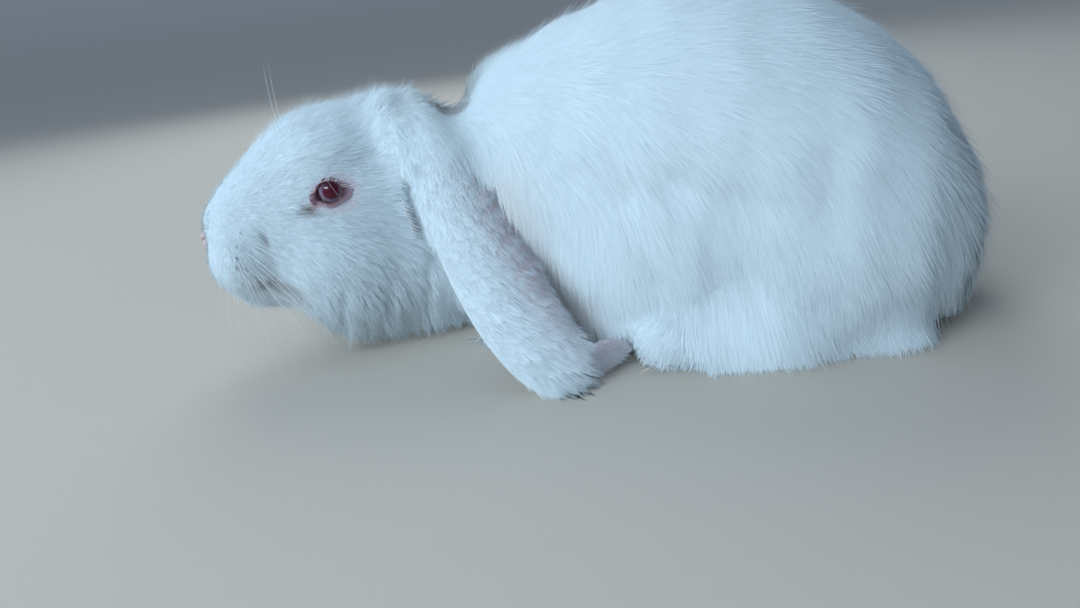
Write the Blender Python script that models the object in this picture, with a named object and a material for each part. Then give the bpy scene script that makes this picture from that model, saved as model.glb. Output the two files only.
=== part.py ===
"""A lop rabbit at life size, crouched with its head low and turned to its left.

The flesh is modelled whole, as overlapping lofts and ellipsoids that a voxel remesh makes one body,
and is then parted with thin cuts. The ears and eyes are solids of their own. Lengths are in
millimetres here and become metres when a mesh is made. The rabbit faces -X, its left side faces -Y.
"""

import math

import bmesh
import bpy
import numpy as np
from mathutils import Matrix, Vector

MM = 0.001
GAP = 0.4  # between any two solids

# The head turns to the rabbit's left about the top of the neck.
HEAD_ROOT = np.array([-110.0, 0.0, 0.0])
HEAD_TURN = math.radians(23.0)

VOXEL = 2.4
FLESH_TRIANGLES = 3150
TRUNK_FROM, TRUNK_FADE = -104.0, 22.0  # where the softer blending of the trunk begins
FOOT_TOP, FOOT_FADE = 14.0, 22.0
EAR_STEPS, EAR_AROUND = 22, 8
LEFT_SPREAD, RIGHT_SPREAD = 1.0, 0.76  # how far out the ears' tips lie
EAR_SWEEP = 60.0  # a less spread ear trails this much further back, times the difference
EYE_RADIUS = 8.8
EYE_AT = (55.5, 29.5, 90.5)  # forward, sideways and up in the head

LID_OUT = 10.0  # how far outside the eye's centre the opening between the lids is centred
LID_OPENING = (10.5, 9.0, 7.6)

WHITE_COAT = (0.86, 0.90, 0.94)
FACE_COAT = (0.88, 0.90, 0.92)
FOOT_COAT = (0.80, 0.86, 0.92)
EAR_COAT = (0.86, 0.82, 0.85)
EYE_RED = (0.22, 0.01, 0.03)


# ---------------------------------------------------------------- scene and materials


def clear_scene():
    for obj in list(bpy.data.objects):
        bpy.data.objects.remove(obj)


def material(name, colour, roughness):
    made = bpy.data.materials.new(name)
    made.use_nodes = True
    shader = made.node_tree.nodes["Principled BSDF"]
    shader.inputs["Base Color"].default_value = (*colour, 1)
    shader.inputs["Roughness"].default_value = roughness
    return made


def add_object(name, mesh):
    made = bpy.data.objects.new(name, mesh)
    bpy.context.scene.collection.objects.link(made)
    return made


def helper(obj):
    """A guide or cutter, which is no part of the rabbit."""
    obj.hide_render = True
    obj.display_type = "WIRE"
    return obj


# ---------------------------------------------------------------- curves and frames


def smooth_curve(keys, at):
    """Values at the places `at` on a smooth curve through the keys: rows of place and values."""
    keys = np.array(keys, float)
    place, value = keys[:, 0], keys[:, 1:]
    slope = np.gradient(value, place, axis=0)
    i = np.clip(np.searchsorted(place, at, side="right") - 1, 0, len(place) - 2)
    width = (place[i + 1] - place[i])[:, None]
    t = ((at - place[i]) / width[:, 0])[:, None]
    start, end = value[i], value[i + 1]
    return (
        start * (2 * t**3 - 3 * t**2 + 1)
        + end * (3 * t**2 - 2 * t**3)
        + slope[i] * width * (t**3 - 2 * t**2 + t)
        + slope[i + 1] * width * (t**3 - t**2)
    )


def head_point(forward, side, up):
    """A point of the head, whose side is + on the rabbit's left, in the rabbit's frame."""
    c, s = math.cos(HEAD_TURN), math.sin(HEAD_TURN)
    x = HEAD_ROOT[0] - forward * c + side * s
    y = HEAD_ROOT[1] - forward * s - side * c
    return np.stack(np.broadcast_arrays(x, y, HEAD_ROOT[2] + up), -1)


def body_point(forward, side, up):
    """A point of the trunk, measured tailwards, to the rabbit's left and up."""
    return np.stack(np.broadcast_arrays(forward, -side, up), -1)


# ---------------------------------------------------------------- closed shapes


def closed_tube(rings, start, end):
    """Faces and points of a tube through rings of points, closed at two tips."""
    count, round_ = rings.shape[:2]
    points = np.vstack([rings.reshape(-1, 3), start, end])
    faces = []
    for i in range(count - 1):
        for j in range(round_):
            k = (j + 1) % round_
            a, b = i * round_, (i + 1) * round_
            faces.append((a + j, a + k, b + k, b + j))
    first, last = len(points) - 2, len(points) - 1
    for j in range(round_):
        k = (j + 1) % round_
        faces.append((first, k, j))
        faces.append((last, (count - 1) * round_ + j, (count - 1) * round_ + k))
    return points, faces


def make_mesh(name, points, faces):
    mesh = bpy.data.meshes.new(name)
    mesh.from_pydata((np.asarray(points) * MM).tolist(), [], faces)
    shape = bmesh.new()
    shape.from_mesh(mesh)
    bmesh.ops.remove_doubles(shape, verts=shape.verts, dist=1e-6)
    bmesh.ops.recalc_face_normals(shape, faces=shape.faces)
    shape.to_mesh(mesh)
    shape.free()
    return mesh


def loft(name, keys, place=body_point, steps=26, around=36, squareness=2.3):
    """A body lofted along one axis. Each key is place, half width, top, bottom and side shift."""
    lo, hi = keys[0][0], keys[-1][0]
    at = lo + (hi - lo) * (0.5 - 0.5 * np.cos(np.linspace(0, math.pi, steps + 2)))[1:-1]
    width, top, bottom, shift = smooth_curve(keys, at).T
    angle = np.linspace(0, 2 * math.pi, around, endpoint=False)
    power = 2 / squareness
    across = np.sign(np.cos(angle)) * np.abs(np.cos(angle)) ** power
    rise = np.sign(np.sin(angle)) * np.abs(np.sin(angle)) ** power
    middle, half = (top + bottom) / 2, (top - bottom) / 2
    rings = place(
        at[:, None],
        shift[:, None] + width[:, None] * across,
        middle[:, None] + half[:, None] * rise,
    )
    tips = [place(k[0], k[4], (k[2] + k[3]) / 2) for k in (keys[0], keys[-1])]
    return add_object(name, make_mesh(name, *closed_tube(rings, *tips)))


def ellipsoid(name, centre, radii, place=body_point, tilt=0.0, turn=0.0, fine=4):
    """An ellipsoid. tilt raises its front end, turn swings it to the left, in degrees."""
    shape = bmesh.new()
    bmesh.ops.create_icosphere(shape, subdivisions=fine, radius=1.0)
    points = np.array([v.co for v in shape.verts]) * radii
    faces = [[v.index for v in face.verts] for face in shape.faces]
    shape.free()
    spin = Matrix.Rotation(math.radians(turn), 3, "Z") @ Matrix.Rotation(math.radians(tilt), 3, "Y")
    forward, side, up = (points @ np.array(spin).T + centre).T
    return add_object(name, make_mesh(name, place(forward, side, up), faces))


# ---------------------------------------------------------------- the flesh, as one body


def trunk_shapes():
    # place, half width, top, bottom, side shift
    back = [
        (-112, 20, 92, 40, 0),
        (-98, 42, 119, 12, 0),
        (-80, 52, 136, 5, 0),
        (-50, 63, 150, 1, 0),
        (-15, 74, 163, -1, 0),
        (30, 83, 171, -2, 0),
        (70, 86, 164, -2, 0),
        (105, 84, 146, -2, 0),
        (134, 74, 120, -2, 0),
        (153, 58, 87, -1, 0),
        (165, 24, 52, 8, 0),
    ]
    yield loft("back", back, steps=34, around=44)
    for side in (1, -1):
        yield ellipsoid("haunch", (88, side * 44, 60), (64, 46, 66), turn=side * -6)
        yield ellipsoid("shoulder", (-44, side * 34, 62), (52, 30, 60))
        yield ellipsoid("flank", (22, side * 44, 62), (70, 41, 64))
        yield ellipsoid("skirt", (60, side * 66, 23), (36, 30, 34))
        yield ellipsoid("fore_skirt", (-8, side * 51, 24), (36, 27, 26))


def neck_shapes():
    dewlap = [
        (-34, 22, 72, 40, 0),
        (-20, 38, 102, 12, 0),
        (4, 42, 121, 3, 0),
        (28, 41, 128, 3, 0),
        (50, 34, 110, 7, 0),
        (62, 20, 80, 30, 0),
    ]
    yield loft("dewlap", dewlap, head_point)


def head_shapes():
    skull = [
        (-6, 20, 104, 50, 0),
        (6, 33, 124, 22, 0),
        (24, 39, 131, 12, 0),
        (46, 40, 131.5, 10, 0),
        (66, 37, 130, 15, 0),
        (80, 33, 124, 22, 0),
        (94, 29, 113, 27, 0),
        (107, 26, 103, 31, 0),
        (118, 21, 93, 38, 0),
        (125, 10, 82, 50, 0),
    ]
    yield loft("skull", skull, head_point, steps=30, around=40, squareness=2.1)
    yield ellipsoid("nose", (114, 0, 80), (12, 13, 16), head_point, tilt=-30)
    yield ellipsoid("chin", (104, 0, 40), (17, 15, 12), head_point, tilt=-12)
    for side in (1, -1):
        yield ellipsoid("cheek", (52, side * 19, 52), (42, 23, 40), head_point, tilt=14)
        yield ellipsoid("whisker_pad", (108, side * 12, 60), (19, 14.5, 21), head_point, tilt=-15)
        yield ellipsoid("brow", (52, side * 19, 102), (30, 17, 20), head_point, tilt=-14)
        yield ellipsoid("crown", (16, side * 16, 119), (24, 20, 14), head_point, tilt=4)


def leg_shapes():
    for side in (1, -1):
        hind_foot = [
            (-4, 8, 18, 2, side * 76),
            (4, 15, 27, -3, side * 76),
            (26, 17, 33, -3, side * 76),
            (70, 15, 34, -3, side * 74),
            (105, 13, 34, -3, side * 69),
            (124, 12, 30, -3, side * 68),
            (132, 6, 18, 4, side * 68),
        ]
        yield loft("hind_foot", hind_foot, steps=22, around=28, squareness=3.2)
        forepaw = [
            (-92, 6, 12, 3, side * 36),
            (-84, 12, 20, -2, side * 36),
            (-62, 12, 26, -2, side * 37),
            (-36, 13, 40, 0, side * 40),
            (-10, 12, 52, 12, side * 43),
        ]
        yield loft("forepaw", forepaw, steps=16, around=24, squareness=2.4)


def tail_shapes():
    yield ellipsoid("scut", (160, 0, 40), (15, 18, 27), tilt=-12)


def join(objects, name):
    """One object of all the shapes, which may overlap."""
    shape = bmesh.new()
    for obj in objects:
        shape.from_mesh(obj.data)
        bpy.data.objects.remove(obj)
    mesh = bpy.data.meshes.new(name)
    shape.to_mesh(mesh)
    shape.free()
    return add_object(name, mesh)


def applied(obj):
    """The object with its modifiers made part of its mesh."""
    graph = bpy.context.evaluated_depsgraph_get()
    mesh = bpy.data.meshes.new_from_object(obj.evaluated_get(graph))
    obj.modifiers.clear()
    obj.data = mesh
    return obj


def triangle_count(mesh):
    return sum(len(face.vertices) - 2 for face in mesh.polygons)


def weight_trunk(obj):
    """A vertex group that is 1 on the trunk and fades to 0 over the neck and down the feet."""
    points = np.array([v.co for v in obj.data.vertices]) / MM
    behind_neck = np.clip((points[:, 0] - TRUNK_FROM) / TRUNK_FADE, 0, 1)
    above_feet = np.clip((points[:, 2] - FOOT_TOP) / FOOT_FADE, 0, 1)
    group = obj.vertex_groups.new(name="trunk")
    for index, weight in enumerate(behind_neck * above_feet):
        group.add([index], float(weight), "REPLACE")


def soften(obj, name, steps, group=""):
    smooth = obj.modifiers.new(name, "SMOOTH")
    smooth.factor = 0.5
    smooth.iterations = steps
    smooth.vertex_group = group


def whole_flesh():
    """Head, neck, trunk, legs and tail as one closed body that is flat where it meets the floor."""
    groups = (trunk_shapes, neck_shapes, head_shapes, leg_shapes, tail_shapes)
    flesh = join([obj for group in groups for obj in group()], "flesh")
    remesh = flesh.modifiers.new("one_body", "REMESH")
    remesh.mode = "VOXEL"
    remesh.voxel_size = VOXEL * MM
    applied(flesh)
    weight_trunk(flesh)
    soften(flesh, "soften_trunk", 45, "trunk")
    soften(flesh, "soften_all", 20)
    applied(flesh)
    thin = flesh.modifiers.new("fewer_faces", "DECIMATE")
    thin.ratio = FLESH_TRIANGLES / triangle_count(flesh.data)
    applied(flesh)
    return cut(flesh, floor_block(), "DIFFERENCE")


# ---------------------------------------------------------------- ears


def ear_rings(side, spread):
    """Rings along an ear: each is a curled strip, its outer face and then its inner face."""
    # place, forward, sideways, up, outward normal (3), width, curl in degrees, thickness
    keys = [
        (0.00, 16, 10, 118, 0.10, 0.05, 1.00, 44, 120, 6.5),
        (0.09, 13, 22, 127, 0.12, 0.30, 0.95, 56, 120, 7.0),
        (0.18, 8, 37, 124, 0.20, 0.62, 0.75, 60, 105, 7.0),
        (0.28, 4, 53, 112, 0.18, 0.86, 0.46, 56, 88, 6.5),
        (0.38, 1, 67, 93, 0.14, 0.92, 0.36, 52, 74, 6.0),
        (0.48, -4, 80, 73, 0.12, 0.93, 0.34, 49, 64, 5.6),
        (0.58, -9, 94, 53, 0.12, 0.93, 0.34, 47, 55, 5.4),
        (0.68, -15, 108, 34, 0.12, 0.93, 0.32, 43, 46, 5.2),
        (0.77, -23, 120, 18, 0.10, 0.95, 0.26, 37, 38, 5.2),
        (0.85, -33, 123, 9.5, 0.06, 0.98, 0.18, 31, 30, 5.2),
        (0.93, -46, 117, 8.8, -0.02, 0.99, 0.10, 24, 24, 5.4),
        (0.97, -55, 114, 9.2, -0.06, 0.99, 0.06, 21, 20, 5.4),
        (0.99, -61, 112, 9.2, -0.06, 0.99, 0.06, 15, 16, 5.0),
        (1.00, -63, 111.5, 9.2, -0.06, 0.99, 0.05, 8, 10, 3.4),
    ]
    at = 1 - np.linspace(1, 0, EAR_STEPS) ** 1.35
    key = smooth_curve(keys, at)
    centre, normal, (width, curl, thick) = key[:, :3], key[:, 3:6], key[:, 6:].T
    centre[:, 0] -= (1 - spread) * EAR_SWEEP * at**2
    centre[:, 1] *= 1 - (1 - spread) * at
    along = np.gradient(centre, axis=0)
    along /= np.linalg.norm(along, axis=1, keepdims=True)
    across = np.cross(normal, along)
    across /= np.linalg.norm(across, axis=1, keepdims=True)
    normal = np.cross(along, across)
    share = np.linspace(-1, 1, EAR_AROUND)
    curl = np.radians(curl)[:, None]
    radius = width[:, None] / (2 * curl)
    bend = share * curl
    facing = across[:, None] * np.sin(bend)[..., None] + normal[:, None] * np.cos(bend)[..., None]
    middle = (centre - normal * radius)[:, None] + facing * radius[..., None]
    half = (thick[:, None] / 2 * np.sqrt(1 - 0.75 * share**4))[..., None]
    outer, inner = middle + facing * half, middle - facing * half
    rings = np.concatenate([outer, inner[:, ::-1]], axis=1)
    return head_point(rings[..., 0], side * rings[..., 1], rings[..., 2])


def ear(name, side, spread, flesh):
    """An ear, cut a gap away from the head and trunk and level with the floor."""
    rings = ear_rings(side, spread)
    made = add_object(name, make_mesh(name, *closed_tube(rings, rings[0].mean(0), rings[-1].mean(0))))
    grown = add_object("ear_seat", flesh.data.copy())
    swell = grown.modifiers.new("gap", "DISPLACE")
    swell.strength = 2 * GAP * MM
    swell.mid_level = 0
    cut(made, applied(grown), "DIFFERENCE")
    return cut(made, floor_block(), "DIFFERENCE")


# ---------------------------------------------------------------- parting the flesh


def block(name, low, high, place=body_point):
    """A box between two corners of the head's or the trunk's own space."""
    corners = [(x, y, z) for x in (low[0], high[0]) for y in (low[1], high[1]) for z in (low[2], high[2])]
    x, y, z = np.array(corners, float).T
    faces = [(0, 1, 3, 2), (4, 6, 7, 5), (0, 4, 5, 1), (2, 3, 7, 6), (0, 2, 6, 4), (1, 5, 7, 3)]
    return helper(add_object(name, make_mesh(name, place(x, y, z), faces)))


def floor_block():
    return block("floor", (-400, -400, -60), (400, 400, 0))


def cut(obj, cutter, operation):
    """The object with a Boolean made part of it. The cutter is used up."""
    boolean = obj.modifiers.new("cut", "BOOLEAN")
    boolean.operation = operation
    boolean.solver = "EXACT"
    boolean.object = cutter
    applied(obj)
    bpy.data.objects.remove(cutter)
    return obj


def part_off(flesh, name, region):
    """Makes what lies in a region an object of its own, a gap away from the rest."""
    piece = add_object(name, flesh.data.copy())
    cut(piece, region(0.0), "INTERSECT")
    cut(flesh, region(GAP), "DIFFERENCE")
    return piece


def leg_regions(side):
    """Each leg's name and region, which grows by a gap that is 0 or GAP."""

    def hind_foot(gap):
        return block("foot", (-13 - gap, side * (50 - gap), -9), (150 + gap, side * 120, 31 + gap))

    def hind_leg(gap):
        return ellipsoid("thigh", (88, side * 84, 62), (60 + gap, 52 + gap, 60 + gap), fine=3)

    def foreleg(gap):
        return block("paw", (-97 - gap, side * (18 - gap), -9), (-28 + gap, side * 99, 32 + gap))

    yield "hind_foot", hind_foot, FOOT_COAT
    yield "hind_leg", hind_leg, WHITE_COAT
    yield "foreleg", foreleg, FOOT_COAT


def tail_region(gap):
    return ellipsoid("tail_end", (170, 0, 42), (20 + gap, 22 + gap, 32 + gap), fine=3)


def head_region(gap):
    return block("face", (12 - gap, -90, -9), (190, 90, 190), head_point)


def neck_region(gap):
    return block("nape", (-200, -90, -9), (-84 + gap, 90, 190))


def eye(name, side, head):
    """An eyeball, with its socket and the opening between the lids cut in the head."""
    forward, out, up = EYE_AT
    ball = ellipsoid(name, (forward, side * out, up), (EYE_RADIUS,) * 3, head_point, fine=3)
    socket = ellipsoid("socket", (forward, side * out, up), (EYE_RADIUS + GAP,) * 3, head_point, fine=3)
    cut(head, socket, "DIFFERENCE")
    lids = ellipsoid("lids", (forward, side * (out + LID_OUT), up), LID_OPENING, head_point, fine=3)
    cut(head, lids, "DIFFERENCE")
    return ball


def finish(obj, colour, roughness=0.8):
    """The object's material and smooth shading, which breaks only at the cuts."""
    obj.data.materials.clear()
    obj.data.materials.append(material(obj.name, colour, roughness))
    obj.data.shade_smooth()
    obj.data.set_sharp_from_angle(angle=math.radians(50))


def stand_at_origin(objects):
    """Moves the meshes so that the middle of the whole rabbit's base is the origin."""
    points = np.array([v.co for obj in objects for v in obj.data.vertices])
    low, high = points.min(0), points.max(0)
    shift = Vector((-(low[0] + high[0]) / 2, -(low[1] + high[1]) / 2, -low[2]))
    for obj in objects:
        obj.data.transform(Matrix.Translation(shift))


def build():
    clear_scene()
    sides = ((1, "left", LEFT_SPREAD), (-1, "right", RIGHT_SPREAD))
    flesh = whole_flesh()
    made = []
    for side, name, spread in sides:
        made.append((ear("ear_" + name, side, spread, flesh), EAR_COAT))
    for side, name, _ in sides:
        for part, region, colour in leg_regions(side):
            made.append((part_off(flesh, part + "_" + name, region), colour))
    made.append((part_off(flesh, "tail", tail_region), WHITE_COAT))
    head = part_off(flesh, "head", head_region)
    made += [(head, FACE_COAT), (part_off(flesh, "neck", neck_region), WHITE_COAT)]
    flesh.name = "trunk"
    made.append((flesh, WHITE_COAT))
    for side, name, _ in sides:
        ball = eye("eye_" + name, side, head)
        finish(ball, EYE_RED, 0.05)
        made.append((ball, None))
    for obj, colour in made:
        if colour:
            finish(obj, colour)
    stand_at_origin([obj for obj, _ in made])


build()
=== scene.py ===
import math
import bmesh
import bpy
import numpy as np
from mathutils import Matrix, Vector


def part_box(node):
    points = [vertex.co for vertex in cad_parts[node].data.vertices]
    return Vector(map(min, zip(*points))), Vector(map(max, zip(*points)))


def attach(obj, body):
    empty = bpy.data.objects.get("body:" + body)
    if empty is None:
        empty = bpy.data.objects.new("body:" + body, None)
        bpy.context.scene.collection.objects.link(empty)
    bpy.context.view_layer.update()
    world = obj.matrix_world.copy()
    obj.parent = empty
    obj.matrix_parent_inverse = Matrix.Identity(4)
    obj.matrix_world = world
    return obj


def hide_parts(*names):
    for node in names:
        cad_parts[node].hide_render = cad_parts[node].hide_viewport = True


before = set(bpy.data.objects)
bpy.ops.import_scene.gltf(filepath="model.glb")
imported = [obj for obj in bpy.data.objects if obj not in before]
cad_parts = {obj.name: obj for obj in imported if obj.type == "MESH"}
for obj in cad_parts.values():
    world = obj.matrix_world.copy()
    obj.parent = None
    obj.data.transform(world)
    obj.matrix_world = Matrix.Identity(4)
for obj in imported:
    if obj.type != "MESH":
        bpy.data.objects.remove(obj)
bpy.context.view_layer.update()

# Lengths are in millimetres and become metres when a mesh is made.
# The rabbit faces -X, its left side faces -Y and it stands on z = 0.
mm = 0.001
up = np.array([0.0, 0.0, 1.0])
bothSides = (("left", 1), ("right", -1))


def unit(v):
    return v / np.maximum(np.linalg.norm(v, axis=-1, keepdims=True), 1e-9)


def dot(a, b):
    return (a * b).sum(-1, keepdims=True)


def fade(x, low, high):
    # 0 below low, 1 above high and a smooth cubic step between them
    t = np.clip((x - low) / (high - low), 0, 1)
    return t * t * (3 - 2 * t)


def mixed(a, b, share):
    return a + (b - a) * share


def bell(x):
    # 1 at 0, about a third at 1 and next to nothing beyond 2
    return np.exp(-(x**2))


def folded(p, middle=0.0):
    # the same places with y measured out from the middle, so that left and right are alike
    return np.stack([p[:, 0], np.abs(p[:, 1] - middle), p[:, 2]], -1)


def sided(p, side):
    # places or ways given for the left, mirrored where the side is -1
    return np.array(p, float) * [1, side, 1]


def boxMiddle(node):
    low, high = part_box(node)
    return np.array((low + high) / 2) / mm


def corner(node, which):
    return np.array(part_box(node)[which]) / mm


# Where things are: the head's own axes come from the two eyes.
eyeInHead = {"ahead": 55.5, "up": 90.5}
leftEye, rightEye = boxMiddle("eye_left"), boxMiddle("eye_right")
eyeCentre = {1: leftEye, -1: rightEye}
eyeRadius = (corner("eye_left", 1) - corner("eye_left", 0))[2] / 2
leftWay = unit((leftEye - rightEye) * [1, 1, 0])
aheadWay = np.cross(leftWay, up)
headRoot = (leftEye + rightEye) / 2 - aheadWay * eyeInHead["ahead"] - up * eyeInHead["up"]
headAxes = np.stack([aheadWay, leftWay, up])
bodyMiddle = boxMiddle("trunk")[1]
napeX, rumpX = corner("trunk", 0)[0], corner("trunk", 1)[0]
footX = corner("hind_foot_left", 0)[0]


def wholeTurn(count):
    return np.linspace(0, 2 * math.pi, count, endpoint=False)


def fromHead(p):
    # ahead, left and up in the head -> place
    return headRoot + np.asarray(p, float) @ headAxes


def toHead(p):
    return (p - headRoot) @ headAxes.T


def fromNose(h):
    return np.linalg.norm(h - [124, 0, 70], axis=1)


def fromEye(h, ahead, height, wide):
    # how far places lie from the eye, seen from the side, by an oval wide times as long as high
    return np.hypot((h[:, 0] - ahead) / wide, h[:, 2] - height)


def waves(p, size, seed, count=7):
    # a smooth random field from -1 to 1: the mean of sines whose crests lie about size apart
    rng = np.random.default_rng(seed)
    way = unit(rng.normal(size=(count, 3)))
    pitch = 2 * math.pi / (size * rng.uniform(0.7, 1.5, count))
    return np.sin((p @ way.T) * pitch + rng.uniform(0, 6.28, count)).mean(-1) * 1.6


clumping = {"salt": [127.1, 311.7, 74.7], "axes": (0, 17.3, 41.9), "turn": 43.758, "jitter": 0.42}


def clumpCentres(p, size, seed):
    # the nearest of a cubic lattice's jittered points, one to each cell of that size
    cell = np.floor(p / size)
    best, found = np.full(len(p), 1e9), p.copy()
    for step in np.ndindex(3, 3, 3):
        beside = cell + np.array(step) - 1
        salt = (beside @ clumping["salt"])[:, None] + [seed + axis for axis in clumping["axes"]]
        point = (beside + 0.5 + clumping["jitter"] * np.sin(salt * clumping["turn"])) * size
        gap = ((point - p) ** 2).sum(-1)
        nearer = gap < best
        best[nearer], found[nearer] = gap[nearer], point[nearer]
    return found


def addObject(name, mesh):
    made = bpy.data.objects.new(name, mesh)
    bpy.context.scene.collection.objects.link(made)
    return made


def meshOf(name, points, faces):
    # faces is an array of rows of 3 or of 4 point numbers
    points, faces = np.asarray(points, np.float32) * mm, np.asarray(faces, np.int32)
    mesh = bpy.data.meshes.new(name)
    mesh.vertices.add(len(points))
    mesh.vertices.foreach_set("co", points.ravel())
    starts = np.arange(0, faces.size, faces.shape[1], dtype=np.int32)
    mesh.loops.add(faces.size)
    mesh.loops.foreach_set("vertex_index", faces.ravel())
    mesh.polygons.add(len(faces))
    mesh.polygons.foreach_set("loop_start", starts)
    mesh.update(calc_edges=True)
    mesh.polygons.foreach_set("use_smooth", np.ones(len(faces), bool))
    return mesh


def numberOf(mesh, name, values):
    made = mesh.attributes.new(name, "FLOAT", "POINT")
    made.data.foreach_set("value", np.asarray(values, np.float32))


def valuesOf(items, field, width, kind=np.int32):
    values = np.empty(len(items) * width, kind)
    items.foreach_get(field, values)
    return values.reshape(-1, width)


def summed(index, values, count):
    # for each of count places, the sum of the rows of values that its index names
    return np.stack([np.bincount(index, values[:, k], count) for k in range(3)], -1)


def normalsOf(points, faces):
    # each point's normal is the sum of its triangles' area vectors, made a unit
    a, b, c = (points[faces[:, k]] for k in range(3))
    area = np.repeat(np.cross(b - a, c - a), 3, axis=0)
    return unit(summed(faces.ravel(), area, len(points)))


def relaxed(points, edges, share, steps):
    # each step moves a point by share of the way to the mean of its neighbours
    start, end = np.concatenate([edges, edges[:, ::-1]]).T
    count = np.bincount(start, minlength=len(points))[:, None]
    for _ in range(steps):
        points = mixed(points, summed(start, points[end], len(points)) / count, share)
    return points


def gridFaces(rows, columns):
    # quads over a grid of points whose columns close into a loop
    i, j = np.meshgrid(np.arange(rows - 1), np.arange(columns), indexing="ij")
    i, j, k = i.ravel(), j.ravel(), (j.ravel() + 1) % columns
    return np.stack(
        [i * columns + j, i * columns + k, (i + 1) * columns + k, (i + 1) * columns + j], -1
    )


def halved(quads):
    return np.vstack([quads[:, [0, 1, 2]], quads[:, [0, 2, 3]]])


def tubeFaces(rows, columns):
    # triangles over a tube of rings; the two points that close its ends follow the last ring
    j = np.arange(columns)
    k, end, pole = (j + 1) % columns, (rows - 1) * columns, rows * columns
    caps = [np.stack([pole + 0 * j, k, j], -1), np.stack([pole + 1 + 0 * j, end + j, end + k], -1)]
    return np.vstack([halved(gridFaces(rows, columns)), *caps])


def outwards(mesh):
    shape = bmesh.new()
    shape.from_mesh(mesh)
    bmesh.ops.remove_doubles(shape, verts=shape.verts, dist=1e-7)
    bmesh.ops.recalc_face_normals(shape, faces=shape.faces)
    shape.to_mesh(mesh)
    shape.free()
    return mesh


def smoothCurve(keys, at):
    # a Hermite curve through keys, which are rows of place and values, read at the places at
    keys = np.array(keys, float)
    place, value = keys[:, 0], keys[:, 1:]
    slope = np.gradient(value, place, axis=0)
    i = np.clip(np.searchsorted(place, at, side="right") - 1, 0, len(place) - 2)
    width = (place[i + 1] - place[i])[:, None]
    t = (at - place[i])[:, None] / width
    return (
        value[i] * (2 * t**3 - 3 * t**2 + 1)
        + value[i + 1] * (3 * t**2 - 2 * t**3)
        + slope[i] * width * (t**3 - 2 * t**2 + t)
        + slope[i + 1] * width * (t**3 - t**2)
    )


class Wire:
    # a socket of a node tree; +, - and * add Math nodes, with a number on either side

    def __init__(self, nodes, socket):
        self.nodes, self.socket = nodes, socket

    def math(self, operation, first, second):
        return self.nodes.node("ShaderNodeMath", {"operation": operation}, {0: first, 1: second})

    def __add__(self, other):
        return self.math("ADD", self, other)

    def __radd__(self, other):
        return self.math("ADD", other, self)

    def __sub__(self, other):
        return self.math("SUBTRACT", self, other)

    def __rsub__(self, other):
        return self.math("SUBTRACT", other, self)

    def __mul__(self, other):
        return self.math("MULTIPLY", self, other)

    def __rmul__(self, other):
        return self.math("MULTIPLY", other, self)


class Nodes:
    # a node tree and the ways to add to it

    def __init__(self, tree):
        self.tree = tree

    def plug(self, socket, value):
        # links a wire, or sets a constant; a colour gets its alpha here
        if isinstance(value, Wire):
            self.tree.links.new(value.socket, socket)
        else:
            socket.default_value = (*value, 1) if isinstance(value, tuple) else value

    def node(self, kind, settings, inputs, output=0):
        made = self.tree.nodes.new(kind)
        for name, value in settings.items():
            if name == "stops":
                ramp = made.color_ramp
                while len(ramp.elements) < len(value):
                    ramp.elements.new(0.5)
                for stop, (at, colour) in zip(ramp.elements, value):
                    stop.position, stop.color = at, (*colour, 1)
            else:
                setattr(made, name, value)
        for name, value in inputs.items():
            self.plug(made.inputs[name], value)
        return Wire(self, made.outputs[output])

    def blend(self, share, first, second, mode="MIX"):
        # the colour form of Mix has its factor at 0, its colours at 6 and 7 and its result at 2
        settings = {"data_type": "RGBA", "blend_type": mode}
        return self.node("ShaderNodeMix", settings, {0: share, 6: first, 7: second}, 2)

    def attribute(self, name):
        return self.node("ShaderNodeAttribute", {"attribute_name": name}, {}, "Fac")


class Finish(Nodes):
    # a material, its Principled shader and the nodes that feed it

    def __init__(self, name, **constants):
        self.material = bpy.data.materials.new(name)
        self.material.use_nodes = True
        super().__init__(self.material.node_tree)
        self.shader = self.tree.nodes["Principled BSDF"]
        for socket, value in constants.items():
            self.feed(socket.replace("_", " "), value)
        self.place = self.node("ShaderNodeTexCoord", {}, {}, "Object")

    def noise(self, size, detail=2.0):
        inputs = {"Vector": self.place, "Scale": 1 / (size * mm), "Detail": detail}
        return self.node("ShaderNodeTexNoise", {}, inputs)

    def feed(self, socket, value):
        self.plug(self.shader.inputs[socket], value)


def wear(obj, finish, slot, *nodes):
    # gives a piece its material and its ride, and hides the CAD nodes that it stands for; slot is
    # not used
    obj.data.materials.clear()
    obj.data.materials.append(finish.material)
    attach(obj, "root")
    if nodes:
        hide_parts(*nodes)


white = {
    "tip": (0.77, 0.89, 0.97),
    # the root colour is painted shade at the feet of the tufts
    "root": (0.40, 0.48, 0.55),
    "skin": (0.70, 0.81, 0.89),
    "blush": (0.68, 0.52, 0.57),
    # a brownish tint: real staining at the mouth, and painted shade in the fold behind the ear
    "warm": (0.74, 0.62, 0.55),
    # dark grey: real tear staining by the eye, and painted shade in creases, folds and hollows
    "stain": (0.21, 0.215, 0.225),
    "blotches": (22.0, 3.0),
}


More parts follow.
